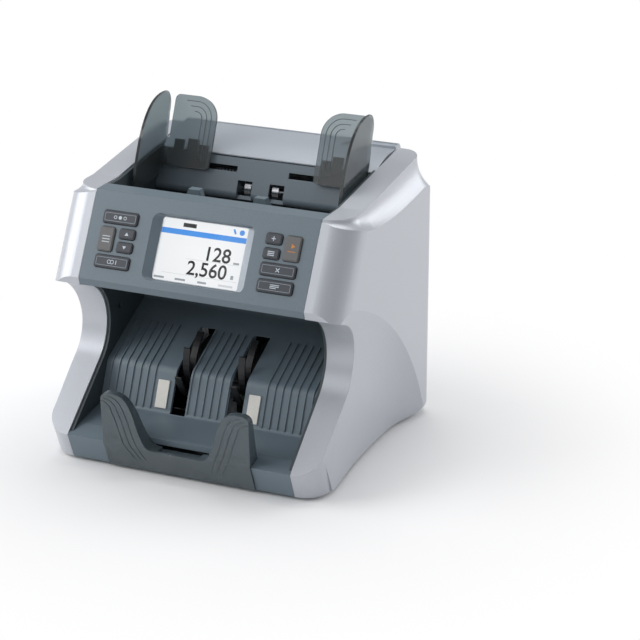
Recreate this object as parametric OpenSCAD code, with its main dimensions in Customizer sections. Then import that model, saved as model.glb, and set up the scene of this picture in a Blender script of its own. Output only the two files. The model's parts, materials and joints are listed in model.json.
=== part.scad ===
// Banknote sorter: single pocket mixed value note counter with a top hopper.
// Frame: X to the right, Y to the back, Z up, millimetres, floor at z = 0.

/* [Case] */
// Clear width between the two side panels
bay_w = 206; // [200:1:212]
// Thickness of each side panel
side_w = 31; // [30:0.5:34]
// Wall thickness of the moulded shells
shell_t = 3; // [2.4:0.1:3.4]
// Rear face of the side panels
rear_y = 117; // [116.5:0.5:122]
// Height of the rubber feet
foot_h = 3; // [2:0.5:5]
// Thickness of the dark inner walls
wall_t = 3; // [2.4:0.1:3.4]
// Thickness of the steel frame plates
frame_t = 2; // [1.5:0.1:2.5]
// Radius of the cheek where the front wraps to the side
cheek_r = 25; // [22:0.5:26]
// Radius of the rear corner
rear_r = 15; // [13:0.5:16]

/* [Control panel] */
// Lean of the control panel from the vertical
lean = 28.5; // [27:0.5:30]
// Length of the control panel up its slope
panel_len = 76.5; // [75:0.5:78]
// Thickness of the panel moulding
panel_t = 2.8; // [2.4:0.1:3]
// Depth of the flat strip above the panel
strip_d = 17; // [15:0.5:19]
// Width of the display opening
lcd_w = 84.5; // [80:0.5:86]
// Height of the display opening
lcd_h = 53.6; // [50:0.2:54]
// Depth of the display recess
lcd_sink = 4; // [3:0.25:4.5]
// Height of a key above the panel
key_rise = 1.6; // [1.2:0.1:2]
// Gap around a key
key_gap = 0.45; // [0.3:0.05:0.6]
// Travel of a key
key_travel = 0.8; // [0.5:0.1:1]

/* [Hopper] */
// Lean of the hopper rear wall
hop_lean = 23.3; // [22:0.1:24.5]
// Thickness of the hopper rear wall
hop_t = 2.5; // [2:0.1:3]
// Width of the feed guide back plate
guide_w = 45; // [43:0.5:46]
// Height of the feed guide back plate along its slope
guide_h = 63.2; // [61:0.2:66]
// Thickness of the feed guide plates
guide_t = 2.5; // [2.2:0.1:2.8]
// Gap between the fin of a feed guide and the inner wall
guide_gap = 3; // [2.8:0.1:4]
// Height of the slots the guides slide in
slot_h = 5; // [4.6:0.1:5.6]
// Sliding clearance of the guides
slide_gap = 0.4; // [0.3:0.05:0.5]

/* [Feed and stacker] */
// Radius of the drive shafts
shaft_r = 5; // [4:0.25:5.5]
// Radial running clearance of a shaft
run_gap = 0.04; // [0.03:0.01:0.08]
// Radius of the pulleys
pulley_r = 9; // [8:0.25:9.5]
// Thickness of the drive belt
belt_t = 1.5; // [1:0.1:1.8]
// Radius of the rubber pickup rollers
pickup_r = 15; // [14:0.25:15.5]
// Radius of the chrome separator rollers
sep_r = 10; // [9:0.25:10.2]
// Radius of the rubber feed rollers
feed_r = 16.6; // [16:0.1:16.8]
// Radius of the transport rollers
trans_r = 15; // [14:0.25:15]
// Tip radius of the stacker wheels
wheel_r = 44; // [41:0.5:44]
// Fingers on a stacker wheel
fingers = 10; // [8:1:12]
// Pitch of the grooves in the stacker plate
rib_pitch = 7; // [6:0.5:9]
// Thickness of the stacker plate
plate_t = 3; // [2.5:0.1:3]

/* [Gate and tray] */
// Half width of the stacker gate
gate_hw = 68; // [66:0.5:70]
// Height of the gate uprights
gate_h = 72; // [68:0.5:76]
// Height of the gate dip
dip_h = 25; // [22:0.5:28]
// Height of the tray front
tray_h = 26.5; // [25.5:0.1:26.7]

/* [Hidden] */
$fn = 64;

eps = 0.01;
bay = bay_w / 2;
side_x = bay + side_w;
wall_in = bay - wall_t;
base_z = foot_h;
base_t = 2;
deck_z = base_z + base_t;
fit = 0.2;

// Side profile of the case, in the plane of Y and Z
chin_y = -91.3;
chin_z = 157.2;
top_y = chin_y + panel_len * sin(lean);
top_z = chin_z + panel_len * cos(lean);
strip_rise = 7.3;
flat_end = -20;
strip_end = rear_y - 10;
function strip_z(y) = top_z + max(0, y - flat_end) * tan(strip_rise);
scoop_y = -86;
scoop_z = 105.9;
scoop_r = 40.5;
scoop_up = 20.9;
scoop_dn = 39.2;
foot_top_y = -120;
foot_bot_y = foot_top_y + 9.8;
function tray_z(y) = base_z + tray_h - 2.8 + (y - foot_top_y) * 0.28;

// Places of the shafts, [y, z]
pickup_c = [2, 184];
feed_c = [56, 176];
trans_c = [70, 130];
stack_c = [-24, 52];
motor_c = [30, 60];
sep_c = [58.5, 203];
pinch_c = [trans_c[0] + trans_r + 11.3, trans_c[1]];
pinch_r = 11;
pinch_x = wall_in - 13;
roll_x = wall_in - 38;
shafts = [pickup_c, feed_c, trans_c, stack_c];
belt_path = [motor_c, stack_c, pickup_c, feed_c, trans_c];

// Stations across the drive side
frame_x = bay + frame_t;
flange_t = 1.2;
pulley_x0 = frame_x + 2.2;
pulley_w = 9;
pulley_x1 = pulley_x0 + pulley_w;
cavity_x = bay + 19.5;

// Floor of the hopper and lid of the rear door
hop_y = 49;
hop_z = 212.3;
floor_y0 = top_y + strip_d + 3.4;
floor_z0 = 207;
floor_fall = 13.5;
function floor_z(y) = floor_z0 - (y - floor_y0) * tan(floor_fall);
lid_y0 = 60.2;
lid_drop = 3.6;
lid_crown = 5;
lid_run = 30;
function lid_z(y) = strip_z(y) - lid_drop + lid_crown * (1 - pow(1 - min(1, max(0, y - lid_y0) / lid_run), 2));
door_t = 3;
hinge_c = [108.5, 79];
door_bot = 72;

// Stacker plate path: floor, ribbed wall, ribbed slope and exit wall, as [y, z]
ledge_y = foot_top_y + 17.5;
plate_at = [[ledge_y + fit, tray_z(ledge_y)], [-67, 36.2], [-51.8, 71.3], [20, 106.3], [25, 148]];
bend_rs = [0, 4, 12, 10];
arc_n = 6;
function unit(v) = v / norm(v);
// Points of a rounded bend of radius r at b between the lines to a and c
function bend(a, b, c, r) = let (u = unit(a - b), v = unit(c - b), h = acos(u * v) / 2,
  o = b + unit(u + v) * r / sin(h), e = (b + u * r / tan(h) - o) / r, g = (b + v * r / tan(h) - o) / r, w = 180 - 2 * h)
  [for (i = [0:arc_n]) o + r * (sin((1 - i / arc_n) * w) * e + sin(i / arc_n * w) * g) / sin(w)];
plate_line = concat([plate_at[0]],
  [for (i = [1:3]) each bend(plate_at[i - 1], plate_at[i], plate_at[i + 1], bend_rs[i])], [plate_at[4]]);
function side(a, b) = let (d = unit(b - a)) [d[1], -d[0]];
function mitre(p, q) = (p + q) / (1 + p * q);
// The path moved to the back of the plate by d
function plate_path(d) = let (n = len(plate_line) - 1, t = [for (i = [0:n - 1]) side(plate_line[i], plate_line[i + 1])])
  [for (i = [0:n]) plate_line[i] + d * mitre(t[max(i - 1, 0)], t[min(i, n - 1)])];
function back(list) = [for (i = [len(list) - 1:-1:0]) list[i]];
function bez(a, b, c, d, n) = [for (i = [0:n]) let (t = i / n, u = 1 - t)
  u * u * u * a + 3 * u * u * t * b + 3 * u * t * t * c + t * t * t * d];

// Extrudes a profile drawn in Y and Z from x0 to x1
module along_x(x0, x1) {
  translate([x0, 0, 0]) rotate([90, 0, 90]) linear_extrude(x1 - x0) children();
}
// Extrudes an outline drawn in X and Z from y0 to y1
module along_y(y0, y1) {
  translate([0, y1, 0]) rotate([90, 0, 0]) linear_extrude(y1 - y0) children();
}
module rod(c, r, x0, x1) {
  translate([x0, c[0], c[1]]) rotate([0, 90, 0]) cylinder(r = r, h = x1 - x0);
}
module both() {
  children();
  mirror([1, 0, 0]) children();
}
module rounded(w, h, r) {
  translate([r, 0]) square([w - 2 * r, h]);
  translate([0, r]) square([w, h - 2 * r]);
  for (x = [r, w - r], y = [r, h - r]) translate([x, y]) circle(r);
}
// Frame of the leaning control panel: x across, y into the case, z up the slope
module on_panel() {
  translate([0, chin_y, chin_z]) rotate([-lean, 0, 0]) children();
}
// Frame of the leaning hopper wall: y to the back of the wall, z up the slope
module on_hopper() {
  translate([0, hop_y, hop_z]) rotate([-hop_lean, 0, 0]) children();
}

// Side panels
module scoop_void(t) {
  up = [sin(scoop_up), cos(scoop_up)];
  dn = [sin(scoop_dn), -cos(scoop_dn)];
  r = scoop_r + t;
  q = r - 0.03;
  translate([scoop_y, scoop_z]) {
    circle(r, $fn = 96);
    polygon([q * up, q * up + 70 * [-up[1], up[0]], q * dn + 110 * [dn[1], -dn[0]], q * dn]);
  }
}
module side_outline() {
  difference() {
    polygon([[foot_bot_y, base_z], [rear_y, base_z], [rear_y, strip_z(rear_y)],
      [flat_end, top_z], [top_y, top_z], [chin_y, chin_z], [chin_y + 2, chin_z - 6.8],
      [foot_top_y, tray_z(foot_top_y)]]);
    scoop_void(0);
  }
}
module cavity_outline() {
  inset = 9;
  ny = inset * cos(lean);
  nz = inset * sin(lean);
  difference() {
    polygon([[foot_bot_y + 13, base_z + shell_t], [rear_y - 4, base_z + shell_t],
      [rear_y - 4, 196], [rear_y - 17, 204], [rear_y - 17, strip_z(rear_y - 17) - shell_t],
      [flat_end, top_z - shell_t], [top_y + ny + 1.2, top_z - shell_t],
      [chin_y + ny, chin_z - nz], [foot_bot_y + 13, chin_z - 30]]);
    scoop_void(shell_t);
  }
}
// Strip edge in plan with its outward normal, and the drop and reach of the cove below it
edge_x = side_x - 8.3;
edge_r = 22.7;
edge_y = top_y + 0.3 + edge_r;
end_r = 16;
cove_p = 2.3;
function mix(a, b, t) = a + (b - a) * t;
function ease(t) = let (u = min(1, max(0, t))) u * u * (3 - 2 * u);
function cove_arc(cx, cy, r, a0, a1, n) = [for (i = [0:n]) let (a = mix(a0, a1, i / n))
  [cx + r * cos(a), cy + r * sin(a), cos(a), sin(a)]];
cove_edge = concat(
  [[edge_x - edge_r - 9, edge_y - edge_r, 0, -1]],
  cove_arc(edge_x - edge_r, edge_y, edge_r, -90, 0, 18),
  [for (y = [edge_y + 6:8:edge_y + 110]) [edge_x, y, 1, 0]],
  cove_arc(edge_x - end_r, strip_end - end_r, end_r, 0, 90, 12),
  [[edge_x - end_r - 30, strip_end, 0, 1]]);
function cove_turn(e) = e[1] > edge_y ? 0 : acos(min(1, max(0, e[2])));
function cove_drop(e) = let (a = cove_turn(e))
  a > 0 ? mix(12.4, 2.3, pow(a / 90, 0.75)) : 12.4 + 12.8 * (1 - pow(1 - min(1, (e[1] - edge_y) / 130), 2.6));
function cove_reach(e) = mix(8.3, 1.5, pow(cove_turn(e) / 90, 2.2));
cove_rows = [for (i = [0:14]) 1.35 * i / 14];
function cove_section(e) = let (h = cove_drop(e), o = cove_reach(e), z = strip_z(e[1])) concat(
  [[e[0], e[1], z + 8]],
  [for (u = cove_rows) let (d = o * pow(u, cove_p)) [e[0] + e[2] * d, e[1] + e[3] * d, z - h * u]],
  [for (d = [-h * 1.35, 8]) [e[0] + e[2] * 95, e[1] + e[3] * 95, z + d]]);
// Closed solid between rows of points, each row a closed convex outline
module loft(rows) {
  n = len(rows);
  m = len(rows[0]);
  last = (n - 1) * m;
  polyhedron([for (r = rows) each r], concat(
    [for (j = [0:m - 3]) [m - 1, j + 1, j]],
    [for (i = [0:n - 2], j = [0:m - 1]) let (k = (j + 1) % m)
      each [[i * m + j, i * m + k, (i + 1) * m + j], [i * m + k, (i + 1) * m + k, (i + 1) * m + j]]],
    [for (j = [0:m - 3]) [last + m - 1, last + j, last + j + 1]]), convexity = 6);
}
module cove_cutter() loft([for (e = cove_edge) cove_section(e)]);
// Shallow dish in the lower side, in polar places about a point in front of and below the case
dish_c = [-131, -83];
dish_r1 = 246;
dish_run = 54;
dish_low = 14.6;
hollow_r = dish_r1 - 20;
low_x = side_x - dish_low - 1.8;
function dish_deep(a) = mix(7.4, dish_low, ease((64 - a) / 36)) + 1.4 * ease((a - 66) / 10);
dish_x = side_x - dish_deep(80);
dish_radii = concat([for (i = [-2:14]) dish_r1 - i * dish_run / 14], [170, 130, 90, 60]);
function dish_at(a, r) = let (t = min(1, (dish_r1 - r) / dish_run))
  [side_x - dish_deep(a) * (1 - (1 - t) * (1 - t)), dish_c[0] + r * cos(a), dish_c[1] + r * sin(a)];
function dish_row(a) = concat([for (r = dish_radii) dish_at(a, r)],
  [for (r = [60, dish_radii[0]]) [side_x + 20, dish_c[0] + r * cos(a), dish_c[1] + r * sin(a)]]);
module dish_cutter() loft([for (a = [95:-3:8]) dish_row(a)]);
// Round lower edge at the rear corner of the side
hem_r = 8;
module hem_section() {
  translate([rear_r - hem_r, base_z]) difference() {
    translate([0, -10]) square([hem_r + 10, hem_r + 10]);
    translate([0, hem_r]) circle(hem_r);
  }
}
module hem_cutter() {
  translate([side_x - rear_r, rear_y - rear_r, 0]) {
    intersection() {
      rotate_extrude() hem_section();
      translate([0, 0, -20]) cube(60);
    }
    translate([0, 0.01, 0]) rotate([90, 0, 0]) linear_extrude(40) hem_section();
    translate([-40, 0, 0]) rotate([90, 0, 90]) linear_extrude(40.01) hem_section();
  }
}
module cheek_cutter() {
  on_panel() translate([side_x - cheek_r + 0.03, cheek_r - 0.03, -30]) linear_extrude(panel_len + 60)
    difference() {
      translate([0, -cheek_r - 30]) square([cheek_r + 30, cheek_r + 30]);
      circle(cheek_r);
    }
}
toe_r = 21;
toe_lean = atan2(foot_bot_y - foot_top_y, tray_z(foot_top_y) - base_z);
module toe_cutter() {
  translate([dish_x - toe_r, foot_bot_y, base_z]) rotate([toe_lean, 0, 0])
    translate([0.03, toe_r - 0.03, -40]) linear_extrude(120)
      difference() {
        translate([0, -toe_r - 30]) square([toe_r + 30, toe_r + 30]);
        circle(toe_r);
      }
}
boss_at = [[-24, 20], [92, 20], [92, 188], [-22, 196]];
boss_r = 4;
screw_r = 1.5;
module side_panel() {
  difference() {
    union() {
      difference() {
        along_x(bay, side_x) side_outline();
        cove_cutter();
        dish_cutter();
        intersection() {
          cheek_cutter();
          translate([bay - 20, -200, chin_z - 45]) cube([200, 200, 200]);
        }
        intersection() {
          toe_cutter();
          translate([bay - 20, -200, -20]) cube([200, 200, 90]);
        }
        translate([side_x - rear_r, rear_y - rear_r, -5]) difference() {
          cube([rear_r + 20, rear_r + 20, 300]);
          translate([0, 0, -1]) cylinder(r = rear_r, h = 302);
        }
        hem_cutter();
        along_x(bay - 1, low_x) cavity_outline();
        along_x(bay - 1, cavity_x) difference() {
          cavity_outline();
          translate(dish_c) circle(hollow_r);
        }
      }
      for (p = boss_at) rod(p, boss_r, frame_x, (norm(p - dish_c) < hollow_r ? low_x : cavity_x) + 0.5);
    }
    for (p = boss_at) rod(p, screw_r, frame_x - 1, frame_x + 9);
  }
}
module right_side_panel() color("#c6c9ce") side_panel();
module left_side_panel() color("#c6c9ce") mirror([1, 0, 0]) side_panel();

// Inner walls beside the hopper and the pocket
inner_rear = rear_y - 5;
module inner_outline() {
  ny = panel_t * cos(lean);
  nz = panel_t * sin(lean);
  under = panel_t / tan(45 + lean / 2);
  difference() {
    polygon([[ledge_y + fit, deck_z], [inner_rear, deck_z], [inner_rear, lid_z(inner_rear) - door_t - 8.5],
      [inner_rear - 4, lid_z(inner_rear - 4) - door_t - 3.6], [lid_y0 + 28, lid_z(lid_y0 + 28) - door_t - 2.4],
      [lid_y0 + 12, lid_z(lid_y0 + 12) - door_t - 1.6], [lid_y0 - 1, lid_z(lid_y0) - door_t - 1],
      [lid_y0 - 1, strip_z(lid_y0) - 1.2], [flat_end, top_z - 1.2], [top_y + strip_d + fit, top_z - 1.2],
      [top_y + strip_d + fit, top_z - panel_t], [top_y + under, top_z - panel_t],
      [chin_y + ny, chin_z - nz], [chin_y + ny + 1.3, chin_z - nz - 1.6], [chin_y + ny + 2.4, chin_z - nz - 5],
      [foot_top_y + 2, tray_z(foot_top_y + 2) + 0.1],
      [ledge_y + fit, tray_z(ledge_y + fit) + 0.1]]);
    scoop_void(1.5);
  }
}
eye_c = [-27.5, 111.7];
module inner_wall() {
  difference() {
    along_x(wall_in, bay) inner_outline();
    for (c = shafts) rod(c, shaft_r + 4, wall_in - 1, bay + 1);
    rod(motor_c, 7, wall_in - 1, bay + 1);
    rod(hinge_c, 2.5 + run_gap, wall_in - 1, bay + 1);
    rod(eye_c, 2.4, wall_in - 1, bay + 1);
    for (p = boss_at) rod(p, screw_r + 0.1, wall_in - 1, bay + 1);
  }
}
module right_inner_wall() color("#39434a") inner_wall();
module left_inner_wall() color("#39434a") mirror([1, 0, 0]) inner_wall();

// Steel frame plates that carry the shaft bearings
bearing_r = shaft_r + 3;
module frame_plate() {
  difference() {
    along_x(bay, frame_x) polygon([[-34, 8], [102, 8], [102, 196], [60, 203], [-30, 203], [-34, 150]]);
    for (c = shafts) rod(c, bearing_r + 0.02, bay - 1, frame_x + 1);
    rod(motor_c, 6, bay - 1, frame_x + 1);
    for (c = [[40, 105], [12, 118], [12, 150]]) rod(c, 12, bay - 1, frame_x + 1);
    for (p = boss_at) rod(p, screw_r + 0.1, bay - 1, frame_x + 1);
  }
}
module right_frame_plate() color("#aeb4b8") frame_plate();
module left_frame_plate() color("#aeb4b8") mirror([1, 0, 0]) frame_plate();
module shaft_bearings() color("#c9b27c") both()
  for (c = shafts) difference() {
    union() {
      rod(c, bearing_r, bay - 0.4, frame_x + eps);
      rod(c, bearing_r + 2, frame_x, frame_x + flange_t);
    }
    rod(c, shaft_r + run_gap, bay - 2, frame_x + 4);
  }
module casing_screws() color("#8d9296") both()
  for (p = boss_at) {
    rod(p, 2.8, wall_in - 1.6, wall_in);
    rod(p, screw_r, wall_in - eps, frame_x + 8);
  }

// Base
module base_plate() color("#9aa0a4") difference() {
  translate([-bay + fit, foot_top_y + 50.2, base_z]) cube([bay_w - 2 * fit, inner_rear - foot_top_y - 50.2, base_t]);
  for (x = [-60:20:60]) translate([x - 4, 66, base_z - 1]) cube([8, 36, base_t + 2]);
}
module rubber_feet() color("#222426")
  for (x = [-1, 1], y = [foot_top_y + 62, inner_rear - 16]) translate([x * (bay - 18), y, 0]) {
    cylinder(r1 = 8, r2 = 9, h = base_z);
  }

// Front tray with the ledge and the rest below the stacker plate
lip_z = tray_z(foot_top_y);
fl_ang = atan2(plate_at[1][1] - plate_at[0][1], plate_at[1][0] - plate_at[0][0]);
rest_d = 16;
gate_rear = foot_top_y + 14;
function under_z(y) = plate_at[0][1] + (y - plate_at[0][0]) * tan(fl_ang) - plate_t / cos(fl_ang);
module tray_front() {
  polygon([[foot_bot_y, base_z], [foot_top_y, lip_z], [ledge_y, tray_z(ledge_y)], [ledge_y, under_z(ledge_y) - 2.6],
    [foot_top_y + 4.2, lip_z - 2.4], [foot_bot_y + 3.2, deck_z], [foot_bot_y + 3.2, base_z]]);
}
module tray_rest() {
  polygon([[ledge_y - 2, under_z(ledge_y - 2)], [ledge_y + rest_d, under_z(ledge_y + rest_d)],
    [ledge_y + rest_d, under_z(ledge_y + rest_d) - 2.6], [ledge_y - 2, under_z(ledge_y - 2) - 2.6]]);
}
module front_tray() color("#4b555a") difference() {
  union() {
    along_x(-bay + fit, bay - fit) tray_front();
    along_x(-wall_in + fit, wall_in - fit) tray_rest();
    translate([-bay + fit, foot_bot_y + 1, base_z]) cube([bay_w - 2 * fit, 49 + foot_top_y - foot_bot_y, base_t]);
    for (x = [4 - wall_in, -gate_hw - 7, gate_hw + 5, wall_in - 6]) along_x(x, x + 2)
      polygon([[ledge_y, deck_z - eps], [ledge_y + 11, deck_z - eps], [ledge_y + 11, under_z(ledge_y + 11) - 1],
        [ledge_y, under_z(ledge_y) - 1]]);
  }
  translate([-gate_hw - fit, foot_top_y - 5, deck_z]) cube([2 * gate_hw + 2 * fit, gate_rear + fit - foot_top_y + 5, 60]);
  translate([-gate_hw - fit, foot_top_y - 5, base_z - 1]) cube([2 * gate_hw + 2 * fit, foot_bot_y - foot_top_y + 6.6, 60]);
}

// Gate that holds the counted notes in the pocket
gate_front = [[foot_bot_y - 1.5, base_z], [foot_top_y - 1.4, base_z + 23.5], [foot_top_y - 4, gate_h + 8]];
module gate_side(t) {
  polygon(concat([for (p = gate_front) [p[0] + t, p[1]]],
    [[foot_top_y + 1.6, gate_h + 8], [foot_top_y + 12, dip_h + 8], [gate_rear, deck_z], [foot_bot_y + 1.4, deck_z],
     [foot_bot_y + 1.4, base_z]]));
}
gate_slope = bez([-gate_hw + 13, gate_h], [-gate_hw + 34, gate_h], [-39, dip_h], [-22, dip_h], 14);
gate_cr = 6;
function corner(n) = [for (i = [0:n]) [-gate_hw + gate_cr - gate_cr * cos(90 * i / n), gate_h - gate_cr + gate_cr * sin(90 * i / n)]];
gate_left = concat([[-gate_hw, base_z]], corner(6), gate_slope);
module gate_outline() {
  polygon(concat(gate_left, back([for (p = gate_left) [-p[0], p[1]]])));
}
// One engraved line that runs beside the inner slope of an upright
module gate_line(k) {
  w = 0.5;
  dx = 5.5 + 5 * k;
  a = [for (p = gate_slope) if (p[1] > dip_h + 6) [p[0] - dx * (p[1] < gate_h - 8 ? 1 : 0.9), p[1] - 2.2 - 2.2 * k]];
  polygon(concat(a, [[-24 - dx, dip_h - 12], [-25 - dx, dip_h - 12]], back([for (p = a) [p[0] - w * 1.6, p[1] - w]])));
}
module stacker_gate() color("#5a6468") difference() {
  intersection() {
    along_x(-gate_hw, gate_hw) gate_side(0);
    along_y(foot_top_y - 10, foot_top_y + 30) gate_outline();
  }
  translate([-19, foot_top_y + 1.6, dip_h - 1.2]) rotate([-4, 0, 0]) cube([38, 20, 20]);
  difference() {
    along_y(foot_top_y - 10, foot_top_y + 4) both() for (k = [0:2]) gate_line(k);
    along_x(-gate_hw - 1, gate_hw + 1) gate_side(0.5);
  }
}

// Stacker plate, slide strips and stacker wheels
wheel_x = 26;
wheel_w = 6;
slot_w = 14;
rib_n = floor((wall_in - 3) / rib_pitch - 0.5);
rib_w = 1.1;
rib_h = 0.9;
rib_end = -7.5;
exit_z = 116;
exit_w = 2 * (wall_in - 8);
strip_w = 10.6;
strip_x = wheel_x + 11.4;
function under_strip(x) = abs(abs(x) - strip_x - strip_w / 2) < strip_w / 2 + rib_w;
module stacker_plate() color("#46525a") difference() {
  union() {
    along_x(-wall_in, wall_in) polygon(concat(plate_path(0), back(plate_path(plate_t))));
    intersection() {
      for (i = [-rib_n - 1:rib_n]) let (x = (i + 0.5) * rib_pitch) if (!under_strip(x)) along_x(x - rib_w / 2, x + rib_w / 2)
        polygon(concat(plate_path(-rib_h), back(plate_path(1))));
      translate([-bay, plate_at[1][0] + 0.6, 0]) cube([bay_w, rib_end - plate_at[1][0] - 0.6, 150]);
    }
  }
  both() rod(stack_c, wheel_r + 2, wheel_x - slot_w / 2, wheel_x + slot_w / 2);
  translate([-exit_w / 2, -10, exit_z]) cube([exit_w, 60, 6]);
}
wall_ang = atan2(plate_at[2][1] - plate_at[1][1], plate_at[2][0] - plate_at[1][0]);
module slide_strips() color("#eceef0") both()
  translate([strip_x, plate_at[1][0], plate_at[1][1]]) rotate([wall_ang, 0, 0]) translate([0, 4, 0]) cube([strip_w, 24, 1.1]);
finger_a = 156;
hub_r = 13;
module finger(a) {
  n = 10;
  spine = [for (i = [0:n]) let (t = i / n) [hub_r - 2 + (wheel_r - hub_r + 2) * t, a + 62 * (1 - t) * (1 - 0.35 * t)]];
  wide = [for (i = [0:n]) 0.5 + 2.6 * (1 - i / n)];
  polygon(concat(
    [for (i = [0:n]) spine[i][0] * [cos(spine[i][1]), sin(spine[i][1])] + wide[i] * [sin(spine[i][1]), -cos(spine[i][1])]],
    [for (i = [n:-1:0]) spine[i][0] * [cos(spine[i][1]), sin(spine[i][1])] - wide[i] * [sin(spine[i][1]), -cos(spine[i][1])]]));
}
module stacker_wheels() color("#16181a") both()
  along_x(wheel_x - wheel_w / 2, wheel_x + wheel_w / 2) translate(stack_c) difference() {
    union() {
      circle(hub_r);
      for (i = [0:fingers - 1]) finger(finger_a + i * 360 / fingers);
    }
    circle(shaft_r + 0.02);
  }

// Drive shafts, rollers, pulleys and belt
module shaft(c) color("#b9bec2") {
  rod(c, shaft_r, -pulley_x1 - 1, frame_x + 3);
}
module pulley(c, bore) color("#2b2e31") difference() {
  union() {
    rod(c, pulley_r, -pulley_x1, -pulley_x0);
    rod(c, pulley_r + 2.4, -pulley_x1, -pulley_x1 + 1);
    rod(c, pulley_r + 2.4, -pulley_x0 - 1, -pulley_x0);
  }
  rod(c, bore, -pulley_x1 - 1, -pulley_x0 + 1);
}
module rollers(c, r, x0, x1, tone) color(tone) both()
  difference() {
    rod(c, r, x0, x1);
    rod(c, shaft_r + 0.02, x0 - 1, x1 + 1);
  }
module pickup_shaft() shaft(pickup_c);
module feed_shaft() shaft(feed_c);
module transport_shaft() shaft(trans_c);
module stacker_shaft() shaft(stack_c);
module pickup_pulley() pulley(pickup_c, shaft_r + 0.02);
module feed_pulley() pulley(feed_c, shaft_r + 0.02);
module transport_pulley() pulley(trans_c, shaft_r + 0.02);
module stacker_pulley() pulley(stack_c, shaft_r + 0.02);
module pickup_rollers() rollers(pickup_c, pickup_r, 50, 62, "#1f2224");
module feed_rollers() rollers(feed_c, feed_r, 8.5, 17.5, "#1f2224");
module transport_rollers() {
  rollers(trans_c, trans_r, 14, 30, "#1f2224");
  rollers(trans_c, trans_r, roll_x, roll_x + 16, "#1f2224");
}
module separator_rollers() color("#d7dbde") {
  rod(sep_c, 3, -26.5, 26.5);
  both() rod(sep_c, sep_r, 10, 16);
}
module pinch_rollers() color("#d7dbde") {
  rod(pinch_c, 2.5, -pinch_x, pinch_x);
  both() for (x = [14, roll_x]) rod(pinch_c, pinch_r, x, x + 16);
}
motor_shaft_r = 3;
motor_r = 22;
module drive_motor() color("#5f666b") difference() {
  union() {
    rod(motor_c, motor_r, -wall_in, -wall_in + 46);
    rod(motor_c, motor_r - 6, -wall_in + 46 - eps, -wall_in + 50);
    translate([-wall_in, motor_c[0] - 26, motor_c[1] - 12]) cube([4, 52, 24]);
  }
  rod(motor_c, motor_shaft_r + run_gap, -wall_in - 1, -wall_in + 30);
}
module motor_pulley() {
  pulley(motor_c, motor_shaft_r - 1);
  color("#b9bec2") rod(motor_c, motor_shaft_r, -pulley_x1 - 1, -wall_in + 28);
}
// Outline of the belt around the five equal pulleys
function out_angle(i) = let (n = len(belt_path), d = belt_path[(i + 1) % n] - belt_path[i % n]) atan2(d[0], -d[1]);
function loop(r) = [for (i = [0:len(belt_path) - 1]) let (a = out_angle(i + len(belt_path) - 1), b = out_angle(i),
  turn = (a - b + 720) % 360) for (k = [0:10]) belt_path[i] + r * [cos(a - turn * k / 10), sin(a - turn * k / 10)]];
module drive_belt() color("#17191a") along_x(-pulley_x1 + 1.4, -pulley_x0 - 1.4) difference() {
  polygon(loop(pulley_r + 0.05 + belt_t));
  polygon(loop(pulley_r + 0.05));
}

// Sensor bars above and below the note path
module front_sensor_bar() color("#2c3236") difference() {
  translate([-wall_in, 63.5, 147.2]) cube([2 * wall_in, 19.5, 11]);
  translate([10 - wall_in, 82.2, 150]) cube([2 * (wall_in - 10), 2, 5]);
}
sensor_rear = rear_y - door_t;
module rear_sensor_bar() color("#2c3236") difference() {
  translate([4 - wall_in, 86.5, 147.2]) cube([2 * (wall_in - 4), sensor_rear - 86.5, 13]);
  translate([10 - wall_in, 85, 150]) cube([2 * (wall_in - 10), 2.3, 5]);
  for (x = [-70, 40]) translate([x, 94, 140]) cube([30, 14, 40]);
}

// Control panel with the display and the keys, [x0, s0, width, height]
lcd_x0 = 46 - lcd_w;
lcd_s0 = 35.5 - lcd_h / 2;
key_r = 2.2;
// Left ends of the two key groups, which stand between the display and the ends of the panel
keys_l = (lcd_x0 - bay) / 2 - 20.25;
keys_r = (lcd_x0 + lcd_w + bay) / 2 - 16.5;
keys = [[keys_l, 49.2, 32.2, 10.6], [keys_l, 25.3, 13.5, 20.6], [keys_l + 17.5, 37.5, 14.8, 8.4],
  [keys_l + 17.5, 26, 14.8, 8.4], [keys_l, 11.6, 32.2, 10.6],
  [keys_r, 51.1, 14.5, 8.8], [keys_r, 38.8, 14.5, 8.8], [keys_r + 17.7, 39, 14.2, 20.7],
  [keys_r, 25.2, 31.8, 10.4], [keys_r, 11.5, 31.8, 10.4]];
board_y = 7.2;
module flat(p, g, y0, y1, r) {
  translate([p[0] - g, y1, p[1] - g]) rotate([90, 0, 0]) linear_extrude(y1 - y0)
    rounded(p[2] + 2 * g, p[3] + 2 * g, r);
}
module key(i) color("#4b4e55") on_panel() {
  p = keys[i];
  flat(p, 0, -key_rise + 0.5, board_y - key_travel - 0.2, key_r);
  flat(p, -0.9, -key_rise, 0, key_r - 0.8);
  flat(p, 1.1, panel_t + 0.3, panel_t + 1.6, key_r + 0.8);
}
module mode_key() key(0);
module menu_key() key(1);
module up_key() key(2);
module down_key() key(3);
module currency_key() key(4);
module add_key() key(5);
module batch_key() key(6);
module start_key() key(7);
module clear_key() key(8);
module report_key() key(9);
screen = [lcd_x0, lcd_s0, lcd_w, lcd_h];
rim_t = 1.2;
lens_t = 1.5;
box_d = lcd_sink + rim_t + lens_t + 4;
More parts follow.
